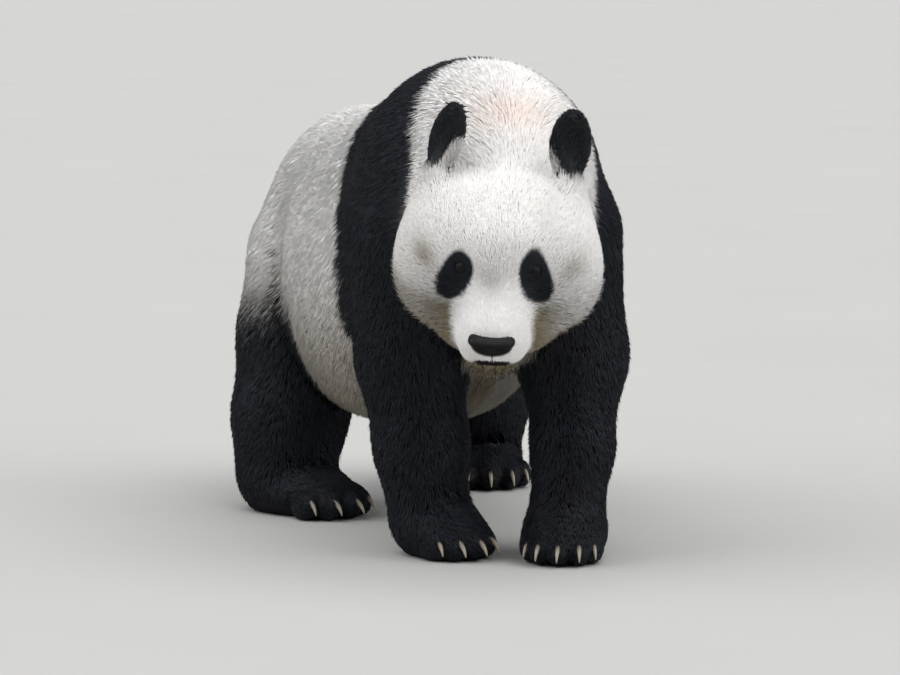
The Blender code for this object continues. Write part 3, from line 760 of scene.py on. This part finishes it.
def markings_and_shade(points, shares, fuzz):
    """Black, brown, grey and pink at places, each 0 to 1, partly painted shade; fuzz frays the
    edges, in metres.
    """
    x, y, z = points.T
    local = from_head(points)
    forward, left, up = local.T
    head = owned_by(FACE, shares)
    fore, hind = (np.minimum(owned_by(names, shares), 1) for names in (FORE, HIND))
    body = 1 - head
    wave = 0.004 * ripple(points, 0.05, 11) + fuzz

    # Black: the band round the shoulders, whose edges lean back as they climb, less the chest.
    climb = np.clip((z - 0.50) / 0.30, 0, 1)
    front = np.where(z > 0.50, 0.1635 * climb ** 2.5, -1.6 * (0.50 - z)) + BAND_FRONT_Y
    lift = np.clip((z - 0.55) / 0.155, 0, 1.3)
    back = np.where(z > 0.34, 0.112 * lift ** 1.6, -1.3 * (0.34 - z)) + BAND_BACK_Y
    band = smooth(y - front + wave, -0.007, 0.007) * smooth(back - y + wave, -0.008, 0.008)
    chest = smooth(np.abs(x - 0.004) + wave, 0.062, 0.040)
    chest = chest * smooth(z, 0.36, 0.33) * smooth(y, -0.02, 0.02)
    band = band * body * (1 - chest)

    # Black: the forelegs, and the hind legs up to the hips, less the groin between them.
    fore = smooth(fore + wave * 8, 0.30, 0.55) * smooth(z + wave, 0.42, 0.36)
    hip = HIP_BLACK_HEIGHT + 0.03 * np.exp(-((y - 0.56) / 0.045) ** 2)
    hip = hip - 0.13 * smooth(np.abs(x), 0.105, 0.045)
    thigh = smooth(hip - z + wave * 1.5 + fuzz * 4, -0.050, 0.036)
    groin = smooth(y - 0.487 - 0.8 * np.maximum(0.21 - z, 0) + wave, -0.012, 0.012)
    groin = np.maximum(groin, smooth(z, 0.27, 0.20) * smooth(hind, 0.35, 0.6))
    outer = smooth(np.maximum(np.abs(x) - 0.060, hind * 0.2) + wave, -0.01, 0.02)
    rear = thigh * groin * outer
    rear = np.maximum(rear, smooth(hind, 0.5, 0.8) * thigh * groin)

    # Black: the ears and the eye patches.
    ears = 0.985 * smooth(owned_by(EARS, shares), 0.12, 0.30)
    ears *= smooth(above_ear_root(points) + wave, -0.013, -0.003)
    patch = smooth(eye_patch(local) - wave * 0.3, 0.002, -0.002) * head
    black = np.clip(np.maximum.reduce([band, fore, rear, ears, patch]), 0, 1)

    # Brown: the cheeks beside the muzzle, the throat, temples, flank, belly, chest and chin. Beside
    # the muzzle and on the temples it is partly painted shade, over the right side of the head
    # wholly painted shade, and low on the body and on the chest soiling and painted shade.
    off_muzzle = np.abs(left + 0.004) + wave * 0.5
    # Outward from the muzzle the brown fades less on the right side: painted shade of the side away
    # from the light.
    fade = np.where(left > 0, 0.90, 0.55) * smooth(off_muzzle, 0.065, 0.12)
    cheek_brown_and_shade = smooth(off_muzzle, 0.054, 0.064) * smooth(up, 0.004, -0.028) * (1 - fade)
    throat = smooth(up, -0.040, -0.090) * smooth(forward, 0.17, 0.12)
    brown = stain(head * np.maximum(cheek_brown_and_shade, throat), local, TEMPLE_STAINS_AND_SHADE)
    # Painted shade over the right side of the head; the flank stain is the coat's own brown.
    brown = stain(brown + 0.16 * head * smooth(-left, 0.075, 0.14), points, BROWN_FLANK)
    # Soiling and painted shade: browner low on the body and on the chest between the forelegs.
    brown += 0.80 * smooth(z, 0.50, 0.20) * body + 0.30 * chest * smooth(z, 0.42, 0.36)
    chin = head * smooth(up + LIP_CURVE * left ** 2, LIP_HEIGHT, -0.053)
    chin = chin * smooth(forward, 0.15, 0.18)
    brown += chin
    # Painted shade: dark streaks between the locks of the chin hair, laid in as black.
    chin_gap_shade = chin * smooth(ripple(local * (1, 1, 0.25), 0.009, 31), -0.2, 0.3)
    black = np.maximum(black, 0.72 * chin_gap_shade)

    # Grey: the bridge of the muzzle, painted shade low on the body and at the hips, and the cheeks.
    grey = stain(0, local, GREY_BRIDGE)
    grey += 0.22 * smooth(z, 0.40, 0.18) * body
    grey += 0.5 * smooth(hip - z, -0.11, 0.0) * smooth(y, 0.56, 0.63)
    grey += 0.10 * head * smooth(np.abs(left), 0.03, 0.08)
    pink = stain(0, points, PINK_NAPE) * (1 - black)
    brown, grey = np.clip(brown, 0, 1), np.clip(grey, 0, 1)
    return dict(black=black, brown=brown, grey=grey, pink=pink)


# -------- tufts of the coat

TUFTS_PER_PIECE = 47000
LOCK = 12                    # tufts that lean together
SOFTNESS = 0.84              # how far a tuft's shading follows the skin below it
ROOT_DEPTH = 0.0015          # of a tuft's root, under the skin
BEND = 0.45                  # where a tuft bends, as a share of its length
BEND_LEAN = 0.30             # how much of its lean a tuft has there
STRAY_GIRTH = 0.70           # of a tuft that stands out, against its neighbours
MARK_AT = 0.6                # where along a tuft its marking is looked up

# A tuft is a closed sliver: its root, both sides of its bend, and its tip.
TUFT_TRIANGLES = np.array([(0, 1, 2), (1, 3, 2), (0, 2, 3), (0, 3, 1)])
ALONG = np.array([0, 0.5, 0.5, 1.0])
MAP_CORNERS = np.array([(0, -0.5), (-0.35, 0), (0.35, 0), (0, 0.5)]) * 0.003   # on the unwrap

COAT_PIECES = {
    "face": (*FACE, *EARS),
    "body": ("trunk", "neck", "tail"),
    "forelegs": FORE,
    "hindlegs": HIND,
}


def bare(points):
    """0 where no hair grows: nose leather, lips, eyes and the soles on the floor."""
    grows = smooth(points[:, 2], 0.003, 0.008)
    grows *= smooth(LEATHER.distance(points), 0.0, 0.005)
    front = smooth(np.abs(from_head(points)[:, 1] - MUZZLE_MIDDLE), 0.042, 0.017)
    parted = LIP_GROOVE * (0.12 + 0.88 * front)
    grows *= smooth(from_lips(points), parted * 1.05, parted * 1.60)
    for eye in EYES:
        grows *= smooth(eye.distance(points), eye.radius * SOCKET, eye.radius * 1.14)
    return grows


def spread_roots(points, triangles, hair, rng):
    """Spreads roots evenly over the skin: the triangle each lies in and its place inside."""
    corners = points[triangles]
    spans = corners[:, 1:] - corners[:, :1]
    area = length_of(np.cross(spans[:, 0], spans[:, 1])) / 2
    share = (bare(points) / hair[:, AREA])[triangles].mean(axis=1)
    total = np.cumsum(area * share)
    marks = np.arange(int(total[-1])) + rng.uniform(0, 1, int(total[-1]))
    host = np.minimum(np.searchsorted(total, marks), len(triangles) - 1)
    first, second = np.sort(rng.uniform(0, 1, (2, len(host))), axis=0)
    return host, np.column_stack((first, second - first, 1 - second))


def nearest_lock(roots, rng):
    """For each root, the root that its tuft leans to."""
    chosen = rng.permutation(len(roots))[: len(roots) // LOCK]
    tree = KDTree(len(chosen))
    for index, root in enumerate(roots[chosen]):
        tree.insert(root, index)
    tree.balance()
    return chosen[[tree.find(root)[1] for root in roots]]


def to_level(points, levels, normals):
    """Moves places along their normals to a distance from the outline."""
    for _ in range(2):
        points = points - normals * (body_distance(points) - levels)[:, None]
    return points


def tuft_shapes(root, normal, lie, hair, lean, rng):
    """Corners and shading normals of each tuft."""
    depth, length, width, _, strays = hair.T
    count = len(root)
    length = length * rng.uniform(0.70, 1.15, count)
    stray = rng.uniform(0, 1, count) < strays
    end = depth * rng.uniform(-0.38, 0.04, count)
    end = end + depth * stray * rng.uniform(0.05, 0.22 + strays)
    bend = depth * rng.uniform(-0.60, -0.34, count)
    middle = to_level(root + lie * (length * BEND)[:, None] + lean * BEND_LEAN, bend, normal)
    tip = to_level(root + lie * length[:, None] + lean, end, normal)
    across = unit(np.cross(normal, tip - root))
    girth = width * np.where(stray, STRAY_GIRTH, 1.0) / 2
    shapes = np.empty((count, 4, 3))
    shading = np.repeat(normal[:, None], 4, axis=1)
    shapes[:, 0] = root - normal * ROOT_DEPTH
    for corner, sideways in ((1, -across), (2, across)):
        shapes[:, corner] = middle + sideways * girth[:, None]
        shading[:, corner] = unit(normal * SOFTNESS + sideways * (1 - SOFTNESS))
    shapes[:, 3] = tip
    return above_floor(shapes), shading


def unwrap(skin):
    """Unfolds the skin's own shape, and returns the places of each triangle on the map."""
    bpy.context.view_layer.objects.active = skin
    skin.select_set(True)
    bpy.ops.object.mode_set(mode="EDIT")
    bpy.ops.mesh.select_all(action="SELECT")
    bpy.ops.uv.smart_project(angle_limit=radians(66), island_margin=0.002)
    bpy.ops.object.mode_set(mode="OBJECT")
    skin.select_set(False)
    layer = skin.data.uv_layers.active
    layer.name = "OFBake"
    return read(layer.data, "uv", 2).reshape(-1, 3, 2)


def make_coat_piece(name, shapes, shading, map_places, colours):
    count = len(shapes)
    firsts = len(ALONG) * np.arange(count)[:, None, None]
    piece = piece_from(name, shapes.reshape(-1, 3), (TUFT_TRIANGLES + firsts).reshape(-1, 3))
    for key, values in colours.items():
        store(piece.data, key, np.repeat(values, len(ALONG)))
    store(piece.data, "along", np.tile(ALONG, count))
    spread = (map_places[:, None] + MAP_CORNERS)[:, TUFT_TRIANGLES.ravel()]
    fill(piece.data.uv_layers.new(name="OFBake").data, "uv", np.clip(spread, 0, 1))
    piece.data.normals_split_custom_set_from_vertices(shading.reshape(-1, 3).astype(np.float32))
    return piece


def make_coat(points, triangles, normals, lie, hair, shares, skin_map):
    """Grows tufts from the skin; normals, lie, hair and shares belong to its vertices."""
    rng = np.random.default_rng(7)
    host, inside = spread_roots(points, triangles, hair, rng)

    def at_roots(corners):
        return (corners * inside[:, :, None]).sum(axis=1)

    root, normal, way, size, share = (
        at_roots(values[triangles[host]]) for values in (points, normals, lie, hair, shares.T)
    )
    share = share.T
    normal = unit(normal)
    way = unit(way + rng.normal(0, 1, way.shape) * (0.08 + 0.8 * size[:, STRAYS:]))
    lock = nearest_lock(root, rng)
    towards = laid(root[lock] - root, normal)
    close = smooth(length_of(towards), 0.030, 0.015)
    pull = 0.50 * smooth(size[:, LENGTH], 0.010, 0.032) * close
    size[:, LENGTH] *= rng.uniform(0.80, 1.20, len(root))[lock]
    length = size[:, LENGTH]
    shapes, shading = tuft_shapes(root, normal, way, size, towards * pull[:, None], rng)
    fuzz = rng.normal(0, 1, len(root)) * np.clip(length * 0.12, 0.0010, 0.0035)
    colours = markings_and_shade(root + way * (length * MARK_AT)[:, None], share, fuzz)
    shade = 0.55 * rng.uniform(0, 1, len(root))
    colours["shade"] = shade + 0.45 * rng.uniform(0, 1, len(root))[lock]
    place = at_roots(skin_map[host])
    owner = share.argmax(axis=0)
    material = coat_material()
    for group, members in COAT_PIECES.items():
        chosen = np.flatnonzero(np.isin(owner, [NAMES.index(member) for member in members]))
        lengthwise = chosen[np.argsort(root[chosen, 1], kind="stable")]
        lots = np.array_split(lengthwise, ceil(len(chosen) / TUFTS_PER_PIECE))
        for index, lot in enumerate(lots, start=1):
            picked = {key: values[lot] for key, values in colours.items()}
            name = f"coat_{group}_{index}"
            piece = make_coat_piece(name, shapes[lot], shading[lot], place[lot], picked)
            piece.data.materials.append(material)


# -------- eyes, nose leather and claws


def grid_triangles(rows, columns):
    """Triangles of a grid of places, row after row, joined round each row."""
    found = []
    for low in range(0, (rows - 1) * columns, columns):
        high = low + columns
        for column in range(columns):
            after = (column + 1) % columns
            found.append((low + column, low + after, high + after))
            found.append((low + column, high + after, high + column))
    return np.array(found)


def grid_piece(name, places):
    """A piece from rows of places round it, with its faces turned to the outside."""
    rows, columns, _ = places.shape
    return piece_from(name, places.reshape(-1, 3), grid_triangles(rows, columns)[:, ::-1])


def round_turns(columns):
    return np.linspace(0, 2 * pi, columns, False)


def sphere_angles(rows, columns):
    """For each place of a grid over a ball: its angle from the axis and its turn about it."""
    angles = np.linspace(0.01, pi - 0.01, rows)
    return np.meshgrid(angles, round_turns(columns), indexing="ij")


def directions(angle, turn):
    """Unit vectors at an angle from the third axis, turned about it."""
    across = np.sin(angle)
    return np.stack((across * np.cos(turn), across * np.sin(turn), np.cos(angle)), axis=-1)


def make_eyeball(eye):
    """A ball with the bulge of its cornea, and how far each place is from its pupil."""
    angle, turn = sphere_angles(40, 40)
    radius = eye.radius * 0.93 * (1 + 0.055 * np.exp(-(angle / 0.55) ** 4))
    places = directions(angle, turn) * radius[..., None]
    piece = grid_piece(eye.name + "_ball", places @ eye.axes.T + eye.centre)
    store(piece.data, "off_axis", angle.ravel())
    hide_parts(eye.name)
    return piece


# Across the rim of the lids, from the opening out: share of the way, and height over the eyeball.
LID_PROFILE = ((0.0, 0.965), (-0.03, 1.00), (0.0, 1.06), (0.12, 1.085), (0.45, 1.10), (1.0, 1.12))
LID_TILT = 0.30
LID_REACH = 1.45             # angle from the pupil at which the lids end, under the skin


def make_lids(eye):
    """Bare black lids: a thin shell over the eyeball with an almond opening, rolled at its rim."""
    turn = round_turns(64)
    tilt = turn - eye.side * LID_TILT
    half_height = np.where(np.sin(tilt) > 0, 0.31, 0.27)
    opening = 1 / np.sqrt((np.cos(tilt) / 0.57) ** 2 + (np.sin(tilt) / half_height) ** 2)
    opening *= 1 - 0.10 * np.abs(np.cos(tilt)) ** 6
    rings = np.array([
        directions(opening + (LID_REACH - opening) * share, turn) * eye.radius * 0.96 * height
        for share, height in LID_PROFILE
    ])
    piece = grid_piece(eye.name + "_lids", rings @ eye.axes.T + eye.centre)
    return piece


def nose_distance(points):
    """The nose leather: a broad pad with wings round two comma nostrils and a groove between."""
    solids = [
        Ball((0.202, 0, -0.0205), (0.0172, 0.034, 0.0083)),
        Ball((0.200, 0, -0.0280), (0.018, 0.0170, 0.0108)),
    ]
    hollows = [Limb((0.219, 0, -0.0235), (0.224, 0, -0.044), 0.0012, 0.0016)]
    for side in (-1, 1):
        solids.append(Ball((0.197, side * 0.0225, -0.0215), (0.0165, 0.0120, 0.0075)))
        start = (0.2185, side * 0.0110, -0.0270)
        hollows.append(Limb(start, (0.203, side * 0.0270, -0.0255), 0.0046, 0.0032))
    points = points - (0, NOSE_PLACE[1], 0)
    depth = soft_minimum([solid.distance(points) for solid in solids], 0.002)
    for hollow in hollows:
        depth = carved(depth, hollow.distance(points), 0.0012)
    return depth


def make_nose():
    """Rays cast out of the middle of the nose, stopped at its surface."""
    rays = np.roll(directions(*sphere_angles(90, 120)), 1, axis=-1)
    shape = rays.shape
    rays = rays.reshape(-1, 3)
    centre = np.array((0.198, NOSE_PLACE[1], -0.026))
    places = cast(centre + rays * 0.05, -rays, nose_distance, 60, 0.7)
    places = centre + rays * np.clip(length_of(places - centre), 0.004, 0.06)[:, None]
    piece = grid_piece("nose_leather", (places @ HEAD_AXES.T + HEAD_CENTRE).reshape(shape))
    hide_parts("nose")
    return piece


def make_claws(paw):
    """Five horns, each an arc that tapers to a blunt tip, deeper than it is wide."""
    rows, columns = 12, 14
    first, last = radians(4), radians(74)
    arc_radius = CLAW_LENGTH / (last - first)
    share = np.linspace(-0.12, 1.0, rows)
    angle = first + (last - first) * share
    turn = round_turns(columns)
    ahead = arc_radius * (np.sin(angle) - sin(first))
    down = arc_radius * (cos(first) - np.cos(angle))
    thick = CLAW_RADIUS * (1 - 0.80 * np.clip(share, 0, 1) ** 1.5)
    thick *= np.sqrt(np.clip((1.015 - share) * 14, 0, 1))
    claws = []
    for centre, axes, radius in toes(paw):
        root = centre + axes[:, 0] * radius * 0.62 + UP * radius * 0.50
        middle = root + ahead[:, None] * axes[:, 0] - down[:, None] * UP
        outward = np.sin(angle)[:, None] * axes[:, 0] + np.cos(angle)[:, None] * UP
        ring = np.cos(turn)[None, :, None] * axes[:, 1] * 0.80
        ring = ring + np.sin(turn)[None, :, None] * outward[:, None]
        claws.append(middle[:, None] + ring * thick[:, None, None])
    places = above_floor(np.array(claws).reshape(-1, 3))
    grid = grid_triangles(rows, columns)
    triangles = [grid + index * rows * columns for index in range(len(claws))]
    claw = paw.replace("paw", "claw")
    piece = piece_from(claw + "s", places, np.concatenate(triangles))
    store(piece.data, "along", np.tile(np.repeat(share, columns), len(claws)))
    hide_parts(*(f"{claw}_{index}" for index in range(1, 6)))
    return piece


# -------- materials


class Nodes:
    """A material's node tree, with short calls to add and join its nodes."""

    def __init__(self, name):
        self.material = bpy.data.materials.new(name)
        self.material.use_nodes = True
        self.tree = self.material.node_tree
        self.shader = self.tree.nodes["Principled BSDF"]

    def feed(self, socket, value):
        """Sets a socket to a number or colour, or joins it to another node's output."""
        if isinstance(value, bpy.types.NodeSocket):
            self.tree.links.new(value, socket)
        else:
            socket.default_value = (*value, 1.0) if isinstance(value, tuple) else value

    def add(self, kind, inputs, **settings):
        node = self.tree.nodes.new("ShaderNode" + kind)
        for key, value in settings.items():
            setattr(node, key, value)
        for key, value in inputs.items():
            self.feed(node.inputs[key], value)
        return node

    def attribute(self, name):
        return self.add("Attribute", {}, attribute_name=name).outputs["Fac"]

    def place(self):
        return self.add("TexCoord", {}).outputs["Object"]

    def ramp(self, value, start, end, low=0.0, high=1.0):
        inputs = dict(enumerate((value, start, end, low, high)))
        return self.add("MapRange", inputs, interpolation_type="SMOOTHSTEP").outputs[0]

    def mix(self, share, first, second):
        inputs = {"Factor": share, 6: first, 7: second}
        return self.add("Mix", inputs, data_type="RGBA").outputs[2]

    def noise(self, scale, detail=3.0, roughness=0.55):
        inputs = {"Vector": self.place(), "Scale": scale, "Detail": detail, "Roughness": roughness}
        return self.add("TexNoise", inputs).outputs["Fac"]

    def bump(self, height, strength, distance):
        inputs = {"Strength": strength, "Distance": distance, "Height": height}
        self.set(Normal=self.add("Bump", inputs).outputs["Normal"])

    def set(self, **values):
        for key, value in values.items():
            self.feed(self.shader.inputs[key.replace("_", " ")], value)


def coat_colour(nodes, out_of_shade):
    """The markings, with painted shade: cream, browned, greyed and black hair, each a little
    different.
    """
    shade = nodes.attribute("shade")
    patchy = nodes.noise(9.0)
    cream = nodes.mix(shade, (0.80, 0.775, 0.745), (0.955, 0.95, 0.945))
    cream = nodes.mix(nodes.ramp(patchy, 0.40, 0.80, 0.0, 0.25), cream, (0.78, 0.72, 0.64))
    brown = nodes.mix(shade, (0.145, 0.118, 0.066), (0.30, 0.255, 0.165))
    cream = nodes.mix(nodes.attribute("brown"), cream, brown)
    cream = nodes.mix(nodes.attribute("pink"), cream, (0.88, 0.70, 0.62))
    cream = nodes.mix(nodes.attribute("grey"), cream, (0.20, 0.19, 0.19))
    # Painted shade deep in the coat: the pale hair is darker and warmer toward its root.
    root = nodes.mix(0.16, cream, (0.45, 0.39, 0.31))
    cream = nodes.mix(out_of_shade, root, cream)
    black = nodes.mix(shade, (0.0055, 0.0065, 0.0085), (0.0165, 0.0200, 0.0275))
    black = nodes.mix(nodes.ramp(patchy, 0.5, 0.8, 0.0, 0.4), black, (0.019, 0.015, 0.013))
    return nodes.mix(nodes.attribute("black"), cream, black)


def coat_material():
    nodes = Nodes("hair")
    # Painted shade: each tuft is darker toward its root, up to 0.6 of its length.
    out_of_coat_shade = nodes.ramp(nodes.attribute("along"), 0.0, 0.6)
    nodes.set(Base_Color=coat_colour(nodes, out_of_coat_shade), Roughness=0.60, Specular_IOR_Level=0.20)
    return nodes.material


def skin_material():
    nodes = Nodes("skin")
    # Painted shade under the coat: the skin is only 0.35 of the way from the darkened root colour
    # to the tips'.
    colour = coat_colour(nodes, 0.35)
    colour = nodes.mix(nodes.attribute("bare"), colour, (0.010, 0.008, 0.008))
    nodes.set(Base_Color=colour, Roughness=0.75, Specular_IOR_Level=0.15)
    nodes.bump(nodes.noise(420.0, 2.0), 0.5, 0.0015)
    return nodes.material


def leather_material():
    nodes = Nodes("leather")
    inputs = {"Vector": nodes.place(), "Scale": 620.0}
    pebbles = nodes.add("TexVoronoi", inputs, feature="SMOOTH_F1").outputs["Distance"]
    grain = nodes.add("Math", {0: pebbles, 1: -1.0}, operation="MULTIPLY").outputs[0]
    colour = nodes.mix(nodes.noise(120.0), (0.0020, 0.0021, 0.0020), (0.0065, 0.0065, 0.0060))
    nodes.set(Base_Color=colour, Roughness=nodes.ramp(nodes.noise(90.0), 0.3, 0.7, 0.42, 0.60))
    nodes.set(Specular_IOR_Level=0.13, Coat_Weight=0.03, Coat_Roughness=0.30)
    nodes.bump(grain, 0.55, 0.0008)
    return nodes.material


def eye_material():
    nodes = Nodes("eye")
    off = nodes.attribute("off_axis")
    streaks = nodes.noise(900.0, 4.0, 0.7)
    iris = nodes.mix(streaks, (0.005, 0.0028, 0.0018), (0.018, 0.009, 0.005))
    colour = nodes.mix(nodes.ramp(off, 0.24, 0.29), (0.001, 0.001, 0.001), iris)
    colour = nodes.mix(nodes.ramp(off, 0.60, 0.72), colour, (0.010, 0.007, 0.006))
    nodes.set(Base_Color=colour, Roughness=0.30, Specular_IOR_Level=0.10)
    nodes.set(Coat_Weight=0.12, Coat_Roughness=0.04)
    return nodes.material


def claw_material():
    nodes = Nodes("horn")
    along = nodes.attribute("along")
    stripes = nodes.noise(260.0, 3.0)
    horn = nodes.mix(stripes, (0.22, 0.18, 0.13), (0.45, 0.39, 0.30))
    # Painted shade: each claw darkens toward its root, where it leaves the fur.
    horn = nodes.mix(nodes.ramp(along, 0.75, 0.15), horn, (0.05, 0.038, 0.028))
    horn = nodes.mix(nodes.ramp(along, 0.80, 1.0, 0.0, 0.6), horn, (0.34, 0.27, 0.19))
    nodes.set(Base_Color=horn, Roughness=0.38, Coat_Weight=0.15, Coat_Roughness=0.2)
    nodes.bump(stripes, 0.25, 0.0006)
    return nodes.material


# -------- stage

FLOOR_HALF_WIDTH = 60.0

# Broad soft lights from far away, like bright parts of an overcast sky: where each comes from, its
# width in degrees, its strength and its colour.
SKY_LIGHTS = {
    "top": ((0.14, -0.20, 1.0), 70, 2.25, (1.0, 1.0, 0.99)),
    "front": ((1.0, -0.70, 0.45), 60, 1.25, (0.97, 0.98, 1.0)),
    "side": ((-1.0, 0.15, 0.90), 60, 1.60, (0.97, 0.98, 1.0)),
}
SKY_COLOUR = (0.95, 0.965, 1.0, 1.0)
SKY_STRENGTH = 0.38

CAMERA_AZIMUTH = radians(-18)
CAMERA_ELEVATION = radians(6)
CAMERA_DISTANCE = 6.5
CAMERA_LENS = 163.8
FEET_BELOW = 0.3468          # the camera's axis passes this far above the spot between the
FEET_RIGHT = 0.0794          # forefeet, and this far to the left of it


def make_floor():
    corners = np.array([(-1, -1, 0), (1, -1, 0), (1, 1, 0), (-1, 1, 0)]) * FLOOR_HALF_WIDTH
    mesh = bpy.data.meshes.new("floor")
    mesh.from_pydata(corners.tolist(), [], [(0, 1, 2, 3)])
    nodes = Nodes("floor")
    colour = nodes.mix(nodes.noise(1.5), (0.42, 0.415, 0.40), (0.45, 0.445, 0.43))
    nodes.set(Base_Color=colour, Roughness=0.9)
    mesh.materials.append(nodes.material)
    placed("floor", mesh)


def aimed(name, data, direction):
    """A lamp or camera that faces along a direction."""
    thing = placed(name, data)
    thing.rotation_mode = "QUATERNION"
    thing.rotation_quaternion = Vector(direction).to_track_quat("-Z", "Y")
    return thing


def make_lights():
    for name, (origin, width, strength, colour) in SKY_LIGHTS.items():
        lamp = bpy.data.lights.new(name, "SUN")
        lamp.angle = radians(width)
        lamp.energy = strength
        lamp.color = colour
        aimed(name, lamp, -Vector(origin))
    world = bpy.data.worlds.new("studio")
    world.use_nodes = True
    sky = world.node_tree.nodes["Background"].inputs
    sky["Color"].default_value = SKY_COLOUR
    sky["Strength"].default_value = SKY_STRENGTH
    bpy.context.scene.world = world


def make_camera():
    """Looks from the front, a little from the animal's right."""
    toward, right, _ = heading_axes(CAMERA_AZIMUTH).T
    back = toward * cos(CAMERA_ELEVATION) + UP * sin(CAMERA_ELEVATION)
    above = np.cross(back, right)
    data = bpy.data.cameras.new("camera")
    data.lens = CAMERA_LENS
    data.clip_end = 200.0
    camera = aimed("camera", data, -back)
    camera.location = SHIFT + back * CAMERA_DISTANCE - right * FEET_RIGHT + above * FEET_BELOW
    bpy.context.scene.camera = camera


# -------- the animal


def make_body():
    points, triangles = make_skin()
    hair, shares = coat_of(points, region_distances(points))
    _, slope = slope_of(body_distance, points)
    normals = unit(slope)
    lie = lie_of(points, normals, shares)
    skin = piece_from("skin", points, triangles)
    under_tips = points + lie * (hair[:, LENGTH] * 0.3)[:, None]
    for key, values in markings_and_shade(under_tips, shares, 0.0).items():
        store(skin.data, key, values)
    store(skin.data, "shade", 0.5 + 0.5 * ripple(points, 0.012, 21))
    store(skin.data, "bare", 1 - np.clip(bare(points) + smooth(points[:, 2], 0.010, 0.002), 0, 1))
    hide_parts(*FLESH)
    skin_map = unwrap(skin)
    skin.data.materials.append(skin_material())
    make_coat(points, triangles, normals, lie, hair, shares, skin_map)


def make_details():
    eye, leather, horn = eye_material(), leather_material(), claw_material()
    for place in EYES:
        make_eyeball(place).data.materials.append(eye)
        make_lids(place).data.materials.append(leather)
    make_nose().data.materials.append(leather)
    for paw in PAWS:
        make_claws(paw).data.materials.append(horn)


make_body()
make_details()
make_floor()
make_lights()
make_camera()
bpy.context.scene.view_settings.view_transform = "Standard"
